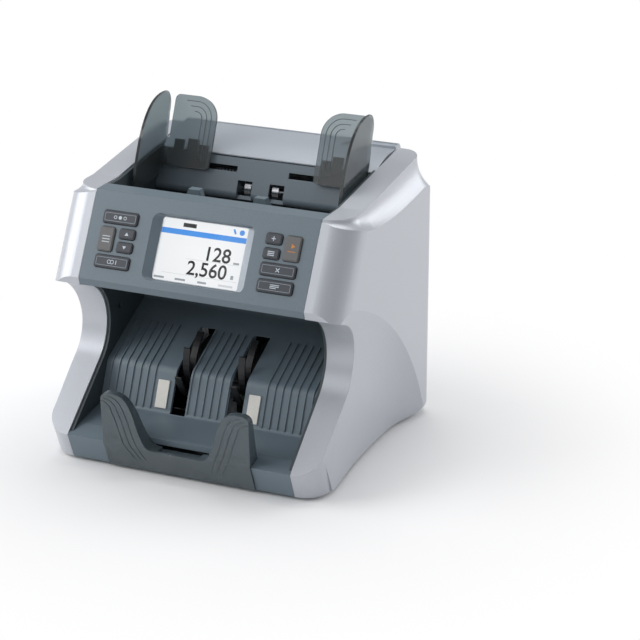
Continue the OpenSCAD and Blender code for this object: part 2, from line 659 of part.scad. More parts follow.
// Underside of the lip below the panel, d behind its front edge
lip_fall = 0.38;
function lip_at(d) = [chin_y + 1.8 + d, chin_z - 6.2 - d * lip_fall];
module panel_section() {
  ny = panel_t * cos(lean);
  nz = panel_t * sin(lean);
  under = panel_t / tan(45 + lean / 2);
  polygon([[chin_y, chin_z], lip_at(0), lip_at(2.2), [chin_y + ny + 1.2, chin_z - nz - 1.6],
    [chin_y + ny, chin_z - nz], [top_y + under, top_z - panel_t],
    [top_y + strip_d, top_z - panel_t], [top_y + strip_d, top_z], [top_y, top_z]]);
}
module control_panel() color("#77858f") difference() {
  union() {
    along_x(-bay + fit, bay - fit) panel_section();
    along_x(-wall_in + fit, wall_in - fit) polygon([lip_at(0.6), lip_at(10.2), lip_at(10.6) + [0, 2.6], lip_at(1) + [0, 2.6]]);
    along_x(-wall_in + fit, wall_in - fit) translate([top_y + strip_d - panel_t, floor_z0 + 1])
      square([panel_t, top_z - floor_z0 - 2]);
    on_panel() flat(screen, 5, panel_t - eps, box_d, 5);
    on_panel() for (x = [7 - bay, lcd_x0 - 14, lcd_x0 + lcd_w + 8, bay - 10], s = [6, 65]) translate([x, board_y, s]) rotate([90, 0, 0])
      cylinder(r = 1.8, h = board_y - panel_t + eps);
  }
  on_panel() {
    hull() {
      flat([lcd_x0 - 7.5, lcd_s0 - 1.7, lcd_w + 8.2, lcd_h + 3], 0, -0.5, 0.1, 6.5);
      flat(screen, 0.3, lcd_sink - 0.2, lcd_sink, 3.8);
    }
    flat(screen, 0, lcd_sink - 0.1, lcd_sink + rim_t + 1, 3.5);
    flat(screen, 2, lcd_sink + rim_t, box_d + 1, 3.5);
    for (p = keys) flat(p, key_gap, -5, panel_t + 1, key_r + key_gap);
  }
}
module display_window() color("#dfe8ec", 0.4) on_panel() {
  flat(screen, -0.15, lcd_sink, lcd_sink + rim_t + eps, 3.4);
  flat(screen, 1.8, lcd_sink + rim_t, lcd_sink + rim_t + lens_t, 3.4);
}
module lcd_module() color("#e8ecef") on_panel() {
  flat(screen, 1.8, lcd_sink + rim_t + lens_t, box_d + 2, 3.4);
  flat([lcd_x0 + 8.5, lcd_s0 + 11.3, lcd_w - 24.5, lcd_h - 19.6], 0, box_d + 1, box_d + 5, 1);
}
module keypad_board() color("#2f6b45") on_panel() difference() {
  flat([1.5 - wall_in, 4, 2 * wall_in - 3, 64], 0, board_y, board_y + 1.6, 2);
  flat(screen, 5.4, board_y - 1, board_y + 3, 5);
}

// Hopper floor, rear wall, feed guides and their rack drive
module hopper_floor() color("#1d2022") difference() {
  union() {
    along_x(-wall_in, wall_in) polygon([[floor_y0, floor_z(floor_y0)], [38, floor_z(38)], [37.4, floor_z(38) - 2.6],
      [floor_y0, floor_z(floor_y0) - 2.6]]);
    both() along_y(-19, -12) translate([31.5, floor_z(-15) - 1.5])
      polygon([[-12, 0], [-6, 21.5], [4, 21.5], [12, 0]]);
  }
  both() translate([48.5, pickup_c[0] - 17, 150]) cube([15, 34, 80]);
  translate([-19, 33, 150]) cube([38, 30, 80]);
}
sep_ly = (sep_c[0] - hop_y) * cos(hop_lean) - (sep_c[1] - hop_z) * sin(hop_lean);
sep_lz = (sep_c[0] - hop_y) * sin(hop_lean) + (sep_c[1] - hop_z) * cos(hop_lean);
wall_top = (lid_z(lid_y0) - hop_z) / cos(hop_lean) - 1;
wall_bot = -10.5;
slot_z = 9.4;
module hopper_rear_wall() color("#4c575e") on_hopper() difference() {
  union() {
    along_x(-wall_in, wall_in) {
      translate([0, wall_bot]) square([hop_t, wall_top - wall_bot]);
      intersection() {
        translate([6, wall_bot]) difference() {
          circle(6);
          circle(6 - hop_t);
        }
        translate([0, wall_bot - 6]) square(6);
      }
    }
    for (x = [-26, -1.5, 23]) along_x(x, x + 3) polygon([[hop_t - eps, sep_lz - 5], [sep_ly, sep_lz - 5],
      [sep_ly + 4.6, sep_lz - 3], [sep_ly + 4.6, sep_lz + 3], [sep_ly + 1, sep_lz + 4.6], [hop_t - eps, sep_lz + 4.6]]);
    translate([0, rack_y0 + rack_d + 0.6, pinion_z]) rotate([90, 0, 0]) cylinder(r = post_r, h = rack_y0 + rack_d + 0.6 - hop_t + 0.1);
  }
  rod([sep_ly, sep_lz], 3 + run_gap, -40, 40);
  both() translate([8.2, -20, wall_bot - 20]) cube([13.9, 20 + hop_t + 0.5, 20 - wall_bot]);
  both() translate([24.4, -1, slot_z - slot_h / 2]) cube([wall_in - 7 - 24.4, hop_t + 1, slot_h]);
}
plate_gap = 2.5;
guide_z0 = 4.6;
guide_x = wall_in - guide_gap;
fin_x0 = guide_x - guide_t;
guide_r = 20;
guide_x0 = fin_x0 - guide_w;
guide_x1 = fin_x0 - 3;
guide_top = guide_z0 + guide_h;
module guide_face() {
  translate([guide_x0, guide_z0 + 4]) square([guide_x1 - guide_x0, guide_h - guide_r - 4]);
  translate([guide_x0 + guide_r, guide_top - guide_r - 1]) square([guide_x1 - guide_x0 - guide_r - 5, guide_r + 1]);
  translate([guide_x0 + guide_r, guide_top - guide_r - 1]) square([guide_x1 - guide_x0 - guide_r, guide_r - 4]);
  translate([guide_x1 - 5, guide_top - 5]) circle(5);
  translate([guide_x0 + guide_r, guide_top - guide_r]) circle(guide_r);
  translate([guide_x0 + 4, guide_z0]) square([guide_x1 - guide_x0 - 4, 10]);
  translate([guide_x0 + 4, guide_z0 + 4]) circle(4);
}
// One engraved line parallel to the inner edge and the top of the back plate
line_w = 0.6;
module guide_line(t) {
  r = guide_r - t;
  translate([guide_x0 + t, guide_z0 + 8]) square([line_w, guide_h - guide_r - 8]);
  translate([guide_x0 + guide_r, guide_top - t - line_w]) square([guide_w - guide_r - 10 - t, line_w]);
  translate([guide_x0 + guide_r, guide_top - guide_r]) intersection() {
    difference() {
      circle(r);
      circle(r - line_w);
    }
    translate([-r, 0]) square(r);
  }
}
function to_y(v, w) = hop_y + v * cos(hop_lean) + w * sin(hop_lean);
function to_z(v, w) = hop_z - v * sin(hop_lean) + w * cos(hop_lean);
notch_w = 30;
fin_rear = 0.1 - plate_gap;
module feed_guide() {
  difference() {
    on_hopper() {
      translate([0, -plate_gap, 0]) rotate([90, 0, 0]) linear_extrude(guide_t) {
        guide_face();
        translate([fin_x0 - 8, guide_z0 + 0.4]) square([9, notch_w - guide_z0 - 1]);
      }
    }
    on_hopper() translate([0, -plate_gap - guide_t + 0.4, 0]) rotate([90, 0, 0]) linear_extrude(2)
      for (t = [4.5, 9, 13.5]) guide_line(t);
  }
  along_x(fin_x0, guide_x) polygon(concat(
    bez([-8, 205], [8, 259.6], [26, 282.6], [56, 281.6], 14),
    bez([61, 281.2], [66.5, 278.6], [69, 270.6], [64, 261], 6),
    [[to_y(fin_rear, notch_w), to_z(fin_rear, notch_w)], [to_y(fin_rear, guide_z0), to_z(fin_rear, guide_z0)],
     [to_y(fin_rear - 4, guide_z0 - 8), to_z(fin_rear - 4, guide_z0 - 8)]]));
}
module right_feed_guide() color("#7c8686", 0.6) feed_guide();
module left_feed_guide() color("#7c8686", 0.6) mirror([1, 0, 0]) feed_guide();
// Carriage: stepped backing behind the plate, arm through the slot and rack behind the wall
tooth_m = 1;
gear_n = 9;
gear_p = tooth_m * gear_n / 2;
pinion_z = 12.6;
post_r = 2;
bar_t = 1.8;
arm_w = 16;
arm_x = fin_x0 - 26.5;
rack_y0 = hop_t + slide_gap + 0.6;
rack_d = 4;
module rack(upper) {
  pitch = PI * tooth_m;
  x0 = -7;
  s = upper ? 1 : -1;
  zs = pinion_z + s * gear_p;
  shift = upper ? 0 : 0.5;
  translate([0, rack_y0 + rack_d, 0]) rotate([90, 0, 0]) linear_extrude(rack_d) {
    translate([x0, upper ? zs + 1.2 : zs - 1.2 - bar_t]) square([arm_x + arm_w - x0, bar_t]);
    for (i = [-1:14]) let (c = (i + shift) * pitch) translate([c, zs])
      polygon([[-0.95, s * 1.3], [-0.32, -s * 0.8], [0.32, -s * 0.8], [0.95, s * 1.3]]);
  }
}
module carriage(upper) {
  on_hopper() {
    for (p = [[fin_x0 - 41, 25.4, 9], [fin_x0 - 31, 29.6, 10], [fin_x0 - 17, 28.2, 9]]) translate([p[0], -plate_gap, guide_z0 + 0.6])
      cube([p[2], plate_gap - slide_gap, p[1] - guide_z0]);
    translate([fin_x0 - 41, -plate_gap, guide_z0 + 0.6]) cube([38, plate_gap - slide_gap, 15]);
    translate([arm_x, -plate_gap + 0.5, slot_z - slot_h / 2 + slide_gap])
      cube([arm_w, rack_y0 + rack_d + plate_gap - 0.5, slot_h - 2 * slide_gap]);
    if (upper) translate([arm_x, rack_y0, slot_z]) cube([arm_w, rack_d, pinion_z + gear_p + 1.2 + bar_t - slot_z]);
    else translate([arm_x, rack_y0, pinion_z - gear_p - 1.2 - bar_t]) cube([arm_w, rack_d, 4]);
    rack(upper);
  }
}
module right_guide_carriage() color("#2f373c") carriage(true);
module left_guide_carriage() color("#2f373c") mirror([1, 0, 0]) carriage(false);
module guide_pinion() color("#d9d6cc") on_hopper() translate([0, rack_y0 + rack_d - 0.2, pinion_z]) rotate([90, 0, 0])
  linear_extrude(rack_d - 0.4) difference() {
    union() {
      circle(gear_p - 1.3);
      for (i = [0:gear_n - 1]) rotate(90 + (i + 0.5) * 360 / gear_n)
        polygon([[gear_p - 1.8, -0.85], [gear_p - 0.4, -0.68], [gear_p + 0.75, -0.28],
          [gear_p + 0.75, 0.28], [gear_p - 0.4, 0.68], [gear_p - 1.8, 0.85]]);
    }
    circle(post_r + run_gap);
  }

// Boards and power supply
board_z = deck_z + 9;
module main_board() color("#2f6b45") {
  translate([-20, 28, board_z]) cube([wall_in + 14, inner_rear - 29, 1.6]);
  for (x = [-15, wall_in - 11], y = [33, 89]) translate([x, y, deck_z]) cylinder(r = 3, h = 9 + eps);
  translate([10, 50, board_z + 1.5]) cube([26, 26, 4]);
  translate([50, 40, board_z + 1.5]) cube([14, 14, 3]);
  for (x = [48, 58, 68]) translate([x, 80, board_z + 1.5]) cylinder(r = 4, h = 11);
  translate([wall_in - 24, 36, board_z + 1.5]) cube([8, 40, 8]);
  for (i = [0:2]) translate([ports[0] + i * 18 + 0.2, inner_rear, 0]) difference() {
    union() {
      translate([0, -14, board_z + 1.5]) cube([12.6, 13.8, ports[1] + 9.8 - board_z - 1.5]);
      translate([0, -1, ports[1] + 1.2]) cube([12.6, 4.4, 8.6]);
    }
    translate([1.2, -9, ports[1] + 2.4]) cube([10.2, 14, 6.2]);
  }
}
module power_supply() color("#b4b9bc") difference() {
  translate([4 - wall_in, 44, deck_z]) cube([62, 48, 31]);
  translate([6 - wall_in, 46, deck_z + 2]) cube([58, 44, 27]);
  for (i = [0:6]) translate([12 - wall_in + i * 7, 52, deck_z + 20]) cube([3.5, 32, 20]);
}

// Rear door with the lid, hinged low at the back
lid_edge = bay - 1.6;
module door_section() {
  r = 7;
  yb = rear_y;
  ys = [for (i = [0:16]) mix(lid_y0, yb - r, i / 16)];
  difference() {
    union() {
      polygon(concat([for (y = ys) [y, lid_z(y)]], [[yb, lid_z(yb) - r], [yb, door_bot], [yb - door_t, door_bot],
        [yb - door_t, lid_z(yb) - r - 1]], [for (i = [16:-1:2]) [ys[i], lid_z(ys[i]) - door_t - (i > 15 ? 1 : 0)]],
        [[lid_y0, lid_z(lid_y0) - 1.2]]));
      intersection() {
        translate([yb - r, lid_z(yb) - r]) circle(r);
        translate([yb - r, lid_z(yb) - r]) square(r);
      }
    }
  }
}
grip_c = [lid_edge - 17.4, 98];
module rear_door() color("#b9bdc3") difference() {
  union() {
    difference() {
      along_x(-lid_edge, lid_edge) door_section();
      translate([0, 0, lid_z(grip_c[1]) - 1.2]) translate([grip_c[0] - 22, grip_c[1], 0]) {
        cylinder(r = 7.5, h = 20);
        translate([0, -7.5, 0]) cube([40, 15, 20]);
      }
      both() along_x(wall_in - 0.4, wall_in + 10) polygon(concat(
        [[lid_y0 - 1, door_bot - 1], [rear_y - 5 + eps, door_bot - 1], [rear_y - 5 + eps, lid_z(rear_y - 12) - door_t - 4]],
        [for (d = [45, 25, 15, 8]) [lid_y0 + d, lid_z(lid_y0 + d) - door_t - 0.3]], [[lid_y0 - 1, lid_z(lid_y0) - 1.6]]));
      both() translate([wall_in - 0.4, rear_y - 7, door_bot - 1]) cube([10, 9, hinge_c[1] + 9 - door_bot]);
    }
    both() hull() {
      rod(hinge_c, 4.5, wall_in - 12, wall_in - 0.4);
      translate([wall_in - 12, rear_y - door_t, hinge_c[1] - 5]) cube([11.6, 1, 12]);
    }
    both() rod(hinge_c, 2.5, wall_in - 8, bay - 0.2);
    both() translate([pinch_x - 2.5, pinch_c[0] - 5, pinch_c[1] - 5]) cube([3, rear_y - door_t - pinch_c[0] + 5 + eps, 10]);
  }
  rod(pinch_c, 2.5 + run_gap, -pinch_x - 3, pinch_x + 3);
}
panel_top = 66;
inlet = [12 - wall_in, 14, 28, 21];
rocker = [48 - wall_in, 14, 14, 21];
ports = [14, board_z + 1.6, 52, 14];
module rear_panel() color("#59636a") difference() {
  translate([-bay + fit, inner_rear, base_z]) cube([bay_w - 2 * fit, 3, panel_top - base_z]);
  translate([inlet[0] - 0.1, inner_rear - 1, inlet[1] - 0.1]) cube([inlet[2] + 0.2, 6, inlet[3] + 0.2]);
  translate([rocker[0], inner_rear - 1, rocker[1]]) cube([rocker[2], 6, rocker[3]]);
  for (i = [0:2]) translate([ports[0] + i * 18, inner_rear - 1, ports[1] + 1]) cube([13, 6, 9]);
  for (i = [0:11]) translate([-70 + i * 12, inner_rear - 1, 44]) cube([5, 6, 14]);
}
module power_inlet() color("#1b1d1f") difference() {
  union() {
    translate([inlet[0], inner_rear - 15, inlet[1]]) cube([inlet[2], 15 + 3 + eps, inlet[3]]);
    translate([inlet[0] - 2.5, inner_rear + 3, inlet[1] - 2.5]) cube([inlet[2] + 5, 1.6, inlet[3] + 5]);
  }
  translate([inlet[0] + 3, inner_rear - 10, inlet[1] + 3]) cube([inlet[2] - 6, 30, inlet[3] - 6]);
}
module power_switch() color("#8f2a26") {
  yc = inner_rear + 1.5;
  zc = rocker[1] + rocker[3] / 2;
  translate([rocker[0] + 0.3, 0, 0]) along_x(0, rocker[2] - 0.6) {
    polygon([[yc - 0.6, zc - 7], [yc + 2.2, zc - 9.6], [yc + 1.9, zc], [yc + 4, zc + 9.6], [yc - 0.6, zc + 7]]);
    intersection() {
      translate([yc, zc]) circle(5);
      translate([yc - 8, zc - 8]) square([8, 16]);
    }
  }
}

// Moves the model so that the middle of its depth is at y = 0
gate_tip = foot_top_y - 1.4 - 2.6 * (gate_h - base_z - 23.5) / (gate_h - base_z - 15.5);
rocker_tip = inner_rear + 5.5;
mid_y = -(gate_tip + rocker_tip) / 2;
module placed() {
  translate([0, mid_y, 0]) children();
}
placed() left_side_panel();
placed() right_side_panel();
placed() left_inner_wall();
placed() right_inner_wall();
placed() left_frame_plate();
placed() right_frame_plate();
placed() base_plate();
placed() rubber_feet();
placed() front_tray();
placed() stacker_gate();
placed() stacker_plate();
placed() slide_strips();
placed() stacker_shaft();
placed() stacker_wheels();
placed() stacker_pulley();
placed() control_panel();
placed() display_window();
placed() lcd_module();
placed() keypad_board();
placed() mode_key();
placed() menu_key();
placed() up_key();
placed() down_key();
placed() currency_key();
placed() add_key();
placed() batch_key();
placed() start_key();
placed() clear_key();
placed() report_key();
placed() hopper_floor();
placed() hopper_rear_wall();
placed() left_feed_guide();
placed() right_feed_guide();
placed() left_guide_carriage();
placed() right_guide_carriage();
placed() guide_pinion();
placed() pickup_shaft();
placed() pickup_rollers();
placed() pickup_pulley();
placed() feed_shaft();
placed() feed_rollers();
placed() feed_pulley();
placed() separator_rollers();
placed() transport_shaft();
placed() transport_rollers();
placed() transport_pulley();
placed() pinch_rollers();
placed() front_sensor_bar();
placed() rear_sensor_bar();
placed() drive_motor();
placed() motor_pulley();
placed() drive_belt();
placed() main_board();
placed() power_supply();
placed() rear_door();
placed() rear_panel();
placed() power_inlet();
placed() power_switch();
placed() shaft_bearings();
placed() casing_screws();
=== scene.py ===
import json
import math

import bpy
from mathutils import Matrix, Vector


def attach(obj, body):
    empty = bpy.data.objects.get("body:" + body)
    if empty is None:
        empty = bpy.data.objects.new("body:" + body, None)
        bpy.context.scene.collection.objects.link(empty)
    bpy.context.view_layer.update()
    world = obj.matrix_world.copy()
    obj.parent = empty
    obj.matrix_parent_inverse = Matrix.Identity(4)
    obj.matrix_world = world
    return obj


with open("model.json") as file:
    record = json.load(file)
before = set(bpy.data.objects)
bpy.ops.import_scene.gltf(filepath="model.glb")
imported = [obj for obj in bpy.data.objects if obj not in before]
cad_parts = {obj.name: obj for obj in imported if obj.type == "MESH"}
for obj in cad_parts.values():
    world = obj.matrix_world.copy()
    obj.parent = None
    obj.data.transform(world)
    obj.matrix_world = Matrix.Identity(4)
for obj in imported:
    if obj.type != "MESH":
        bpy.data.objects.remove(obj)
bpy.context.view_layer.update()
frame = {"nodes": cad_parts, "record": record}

# %% [markdown]
# # A banknote sorter, dressed for its portrait
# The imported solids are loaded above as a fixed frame: sixty named pieces, each with its place in its mesh.
# This lesson gives each of them the finish of its real material, adds the thin things that are printed, lit or
# laid on top, closes the ceiling of the pocket, and sets up a plain studio round it.

MM = 0.001
nodes = frame["nodes"]

# %% [markdown]
# ## Camera
# The portrait is taken from the right, a little above, with a long lens, so that upright edges stay nearly
# upright. A camera looks along its own -Z, and `to_track_quat` turns that axis towards the point that it should
# see. Places are in metres, the lens and the sensor in millimetres.

# %% Camera
LENS, SENSOR = 131.07, 36.0
EYE = Vector((0.8197, -1.67954, 0.8106))
LOOK_AT = Vector((0.09247, -0.03242, 0.1300))
camera_data = bpy.data.cameras.new("portrait_camera")
camera_data.lens = LENS
camera_data.sensor_width = SENSOR
camera = bpy.data.objects.new("portrait_camera", camera_data)
bpy.context.scene.collection.objects.link(camera)
camera.location = EYE
camera.rotation_euler = (LOOK_AT - EYE).to_track_quat("-Z", "Y").to_euler()
bpy.context.scene.camera = camera
bpy.context.scene.view_settings.view_transform = "Standard"
print("camera is", round((LOOK_AT - EYE).length, 3), "m from the sorter")

# %% [markdown]
# ## Colours, nodes and patterns
# Paint charts give colours as sRGB hex values, and shaders calculate in linear light, so one function converts.
# Another adds a shader node: plain values are set on its sockets, and sockets of other nodes are linked to them.
# Most surfaces here vary with a fine noise. Noise seldom leaves the range from 0.3 to 0.7, so a colour that should
# use both of its shades runs between those two values.

# %% Helpers for colours, nodes and patterns
NOISE_LOW, NOISE_HIGH = 0.3, 0.7


def linear(hex_colour):
    """An sRGB hex colour such as "#8090a0" as linear red, green, blue and alpha."""
    parts = [int(hex_colour[i:i + 2], 16) / 255 for i in (1, 3, 5)]
    return [c / 12.92 if c <= 0.04045 else ((c + 0.055) / 1.055) ** 2.4 for c in parts] + [1.0]


def add_node(tree, kind, inputs=None, **settings):
    """One shader node with its settings and its values or links."""
    made = tree.nodes.new(kind)
    for name, value in settings.items():
        setattr(made, name, value)
    for name, value in (inputs or {}).items():
        if isinstance(value, bpy.types.NodeSocket):
            tree.links.new(value, made.inputs[name])
        else:
            made.inputs[name].default_value = value
    return made


def new_finish(name):
    """An empty material and its node tree."""
    made = bpy.data.materials.new(name)
    made.use_nodes = True
    made.node_tree.nodes.clear()
    return made, made.node_tree


def speckle(tree, where, size_mm, detail, shade, tint=None, low=NOISE_LOW, high=NOISE_HIGH):
    """A noise with specks of one size, and a colour that runs from shade to tint with it, or is plain shade."""
    noise = add_node(tree, "ShaderNodeTexNoise", {
        "Vector": where, "Scale": 1 / (size_mm * MM), "Detail": detail})
    if tint is None:
        return noise.outputs["Fac"], linear(shade)
    colour = add_node(tree, "ShaderNodeValToRGB", {"Fac": noise.outputs["Fac"]})
    first, last = colour.color_ramp.elements
    first.position, last.position = low, high
    first.color, last.color = linear(shade), linear(tint)
    return noise.outputs["Fac"], colour.outputs["Color"]


def dress(piece, finish):
    """Gives a piece one finish in place of what it had."""
    piece.data.materials.clear()
    piece.data.materials.append(finish)


# %% [markdown]
# ## Studio
# A white table and four soft lamps: a strong one on the left, a weak one in front, one at the rear on the right and
# one overhead. They give the satin shells their soft gradients, and the camera doesn't see the lamps themselves.
# The table keeps the shadow of the sorter. A little way off, it fades to plain white, so that no horizon shows.
# Distances are in metres, powers in watts.

# %% Floor
FLOOR_WIDTH, FADE_FROM, FADE_TO = 14.0, 0.12, 0.42
bpy.ops.object.select_all(action="DESELECT")
bpy.ops.mesh.primitive_plane_add(size=FLOOR_WIDTH, location=(0, 0, 0))
floor = bpy.context.active_object
floor.name = "studio_floor"
floor_finish, tree = new_finish("white paper")
place = add_node(tree, "ShaderNodeTexCoord")
reach = add_node(tree, "ShaderNodeVectorMath", {0: place.outputs["Object"]}, operation="LENGTH")
fade = add_node(tree, "ShaderNodeMapRange", {
    "Value": reach.outputs["Value"], "From Min": FADE_FROM, "From Max": FADE_TO}, interpolation_type="SMOOTHSTEP")
paper = add_node(tree, "ShaderNodeBsdfDiffuse", {"Color": linear("#f4f4f4")})
glow = add_node(tree, "ShaderNodeEmission", {"Color": linear("#ffffff"), "Strength": 1.0})
ray = add_node(tree, "ShaderNodeLightPath")
seen = add_node(tree, "ShaderNodeMath", {0: ray.outputs["Is Camera Ray"], 1: ray.outputs["Is Glossy Ray"]},
                operation="MAXIMUM")
seen = add_node(tree, "ShaderNodeMath", {0: seen.outputs[0], 1: ray.outputs["Is Transmission Ray"]},
                operation="MAXIMUM")
part = add_node(tree, "ShaderNodeMath", {0: fade.outputs["Result"], 1: seen.outputs[0]}, operation="MULTIPLY")
both = add_node(tree, "ShaderNodeMixShader", {0: part.outputs[0], 1: paper.outputs[0], 2: glow.outputs[0]})
add_node(tree, "ShaderNodeOutputMaterial", {"Surface": both.outputs[0]})
dress(floor, floor_finish)

# %% World and lamps
ROOM_STRENGTH = 0.42
world = bpy.data.worlds.new("studio_room")
bpy.context.scene.world = world
world.use_nodes = True
tree = world.node_tree
tree.nodes.clear()
ray = add_node(tree, "ShaderNodeLightPath")
seen = add_node(tree, "ShaderNodeMath", {0: ray.outputs["Is Camera Ray"], 1: ray.outputs["Is Transmission Ray"]},
                operation="MAXIMUM")
room = add_node(tree, "ShaderNodeBackground", {"Color": linear("#f2f4f8"), "Strength": ROOM_STRENGTH})
white = add_node(tree, "ShaderNodeBackground", {"Color": linear("#ffffff"), "Strength": 1.0})
both = add_node(tree, "ShaderNodeMixShader", {0: seen.outputs[0], 1: room.outputs[0], 2: white.outputs[0]})
add_node(tree, "ShaderNodeOutputWorld", {"Surface": both.outputs[0]})

AIM = Vector((0, 0, 0.13))
LAMPS = {  # place, side of the square, power
    "key_softbox": ((-1.68, -0.78, 1.1), 1.6, 33.0),
    "front_softbox": ((-0.5, -1.9, 1.5), 1.0, 2.5),
    "right_softbox": ((1.4, 1.5, 0.75), 1.2, 16.5),
    "top_softbox": ((0.0, 0.55, 1.7), 1.0, 9.5),
}
for name, (where, size, power) in LAMPS.items():
    lamp_data = bpy.data.lights.new(name, "AREA")
    lamp_data.shape = "SQUARE"
    lamp_data.size = size
    lamp_data.energy = power
    lamp = bpy.data.objects.new(name, lamp_data)
    bpy.context.scene.collection.objects.link(lamp)
    lamp.location = where
    lamp.visible_camera = False
    lamp.rotation_euler = (AIM - lamp.location).to_track_quat("-Z", "Y").to_euler()
print("lamps:", len(LAMPS))

# %% [markdown]
# ## Moulded plastics
# ABS comes out of a mould whose walls were spark eroded to a fine even grain, so light spreads softly on it. The
# grain is about 0.3 mm, and is drawn coarser, at 0.7 mm, so that it shows at this distance. Two close shades and the
# gloss follow the grain. The silver shells are ABS under a paint with metal flakes, and the keys are silicone.
# The floor of the hopper falls towards the back, with slate fins standing on it. The floor itself is black, a painted
# shade for the deep gap between the fins and the rear wall.

# %% Moulded plastics
ABS_IOR, LACQUER_ROUGHNESS, GLOSS_DRIFT, EDGE_MM = 1.53, 0.18, 0.04, 0.5


def raised_tone(tree, place, flat, raised, height_mm, fall=0.0):
    """The flat colour, and the raised one for what stands above a plane that falls towards the back."""
    level = add_node(tree, "ShaderNodeVectorMath", {0: place, 1: (0, fall, 1)}, operation="DOT_PRODUCT")
    above = add_node(tree, "ShaderNodeMath", {0: level.outputs["Value"], 1: height_mm * MM},
                     operation="GREATER_THAN")
    tones = add_node(tree, "ShaderNodeMixRGB", {
        "Fac": above.outputs[0], "Color1": flat, "Color2": linear(raised)})
    return tones.outputs["Color"]


def moulded(name, shade, tint, roughness, grain_mm=0.7, relief_mm=0.012, metal=0.0, coat=0.0, upper=None):
    """A moulded plastic: two close shades and a gloss that follow its grain, and the grain as bump.
    With upper, which holds a colour, a height and a fall, what stands above that plane has that colour."""
    made, tree = new_finish(name)
    place = add_node(tree, "ShaderNodeTexCoord").outputs["Object"]
    grain, base = speckle(tree, place, grain_mm, 3.0, shade, tint)
    gloss = add_node(tree, "ShaderNodeMapRange", {
        "Value": grain, "From Min": NOISE_LOW, "From Max": NOISE_HIGH,
        "To Min": roughness - GLOSS_DRIFT, "To Max": roughness + GLOSS_DRIFT})
    if upper:
        base = raised_tone(tree, place, base, *upper)
    soft = add_node(tree, "ShaderNodeBevel", {"Radius": EDGE_MM * MM}, samples=4)
    bump = add_node(tree, "ShaderNodeBump", {
        "Height": grain, "Distance": relief_mm * MM, "Strength": 0.6, "Normal": soft.outputs["Normal"]})
    shader = add_node(tree, "ShaderNodeBsdfPrincipled", {
        "Base Color": base, "Roughness": gloss.outputs["Result"], "Normal": bump.outputs["Normal"],
        "Metallic": metal, "IOR": ABS_IOR, "Coat Weight": coat, "Coat Roughness": LACQUER_ROUGHNESS})
    add_node(tree, "ShaderNodeOutputMaterial", {"Surface": shader.outputs[0]})
    return made


PAINT = {"roughness": 0.38, "grain_mm": 0.5, "relief_mm": 0.005, "metal": 0.3, "coat": 0.06}
SILICONE = {"roughness": 0.5, "grain_mm": 0.4, "relief_mm": 0.008}
# Black ABS. On the hopper floor the same black is painted shade.
BLACK_AND_SHADE = ("#141517", "#1d1f21", 0.42)
FINS = ("#66747d", 199.7, math.tan(math.radians(13.5)))
finishes = {
    "silver_abs": moulded("silver painted ABS", "#b8bbc2", "#c2c5cb", **PAINT),
    "bluegrey_abs": moulded("blue-grey ABS", "#626f78", "#6b7881", 0.42),
    "slate_abs": moulded("slate ABS", "#64727b", "#6d7b85", 0.45),
    "dark_abs": moulded("dark ABS", "#364145", "#404b50", 0.5),
    "black_abs": moulded("black ABS", *BLACK_AND_SHADE),
    "key_rubber": moulded("charcoal key silicone", "#34383f", "#3d4148", **SILICONE),
    "white_acetal": moulded("white acetal", "#dcdad2", "#eae8e1", 0.35),
    "black_rubber": moulded("black rubber", "#161617", "#232324", 0.72, grain_mm=0.6, relief_mm=0.03),
    "display_panel": moulded("pale display frame", "#c9ccd0", "#d6d9dc", 0.4, grain_mm=0.6, relief_mm=0.01),
}
warm_keys = moulded("warm grey key silicone", "#5b5b5c", "#666666", **SILICONE)
door_silver = moulded("cool silver painted ABS", "#adb3ba", "#b6bcc3", **PAINT)
# Silver film for the painted highlight on the lit right wall of the display window.
window_highlight_silver = moulded("silver film of the painted window highlight", "#aab2bb", "#b6bec7", 0.32,
                       grain_mm=0.5, relief_mm=0.005, metal=0.3)
# Painted shade: only the fins are slate, and the floor round them is black for the deep gap before the rear wall.
shaded_floor_with_fins = moulded("slate fins on a floor painted black as shade", *BLACK_AND_SHADE, upper=FINS)
print("plastics by slot:", len(finishes))

# %% [markdown]
# ## Smoke polycarbonate and acrylic
# The guides are clear plastic with a grey dye: thin where light crosses one plate, dark along the edges where it runs
# through the length of the sheet. Dye in the volume does that, so it is an absorption with a depth. The gate has the
# same dye, but it is frosted and lets less light through. The window over the display is clear acrylic.


# %% Smoke polycarbonate and acrylic
def clear_plastic(name, ior, clear, gloss, haze_mm, detail, shade, tint=None, dye=None):
    """A clear plastic whose gloss varies with a faint haze. A dye is a colour and its strength per metre."""
    made, tree = new_finish(name)
    place = add_node(tree, "ShaderNodeTexCoord")
    haze, base = speckle(tree, place.outputs["Object"], haze_mm, detail, shade, tint)
    rough = add_node(tree, "ShaderNodeMapRange", {"Value": haze, "To Min": gloss[0], "To Max": gloss[1]})
    shader = add_node(tree, "ShaderNodeBsdfPrincipled", {
        "Base Color": base, "Roughness": rough.outputs["Result"], "IOR": ior, "Transmission Weight": clear})
    ends = {"Surface": shader.outputs[0]}
    if dye:
        depth = add_node(tree, "ShaderNodeVolumeAbsorption", {"Color": linear(dye[0]), "Density": dye[1]})
        ends["Volume"] = depth.outputs[0]
    add_node(tree, "ShaderNodeOutputMaterial", ends)
    return made


POLYCARBONATE_IOR, ACRYLIC_IOR = 1.58, 1.49
finishes["smoke_polycarbonate"] = clear_plastic(
    "smoke polycarbonate", POLYCARBONATE_IOR, 0.95, (0.10, 0.16), haze_mm=12, detail=2.0,
    shade="#ccd6d8", dye=("#647c88", 390.0))
frosted = clear_plastic(
    "frosted smoke polycarbonate", POLYCARBONATE_IOR, 0.66, (0.20, 0.30), haze_mm=9, detail=3.0,
    shade="#788890", tint="#82929a", dye=("#6f8894", 150.0))
finishes["display_glass"] = clear_plastic(
    "clear acrylic window", ACRYLIC_IOR, 1.0, (0.02, 0.05), haze_mm=20, detail=1.0, shade="#fbfcfd")
print("finishes with clear plastics:", len(finishes))

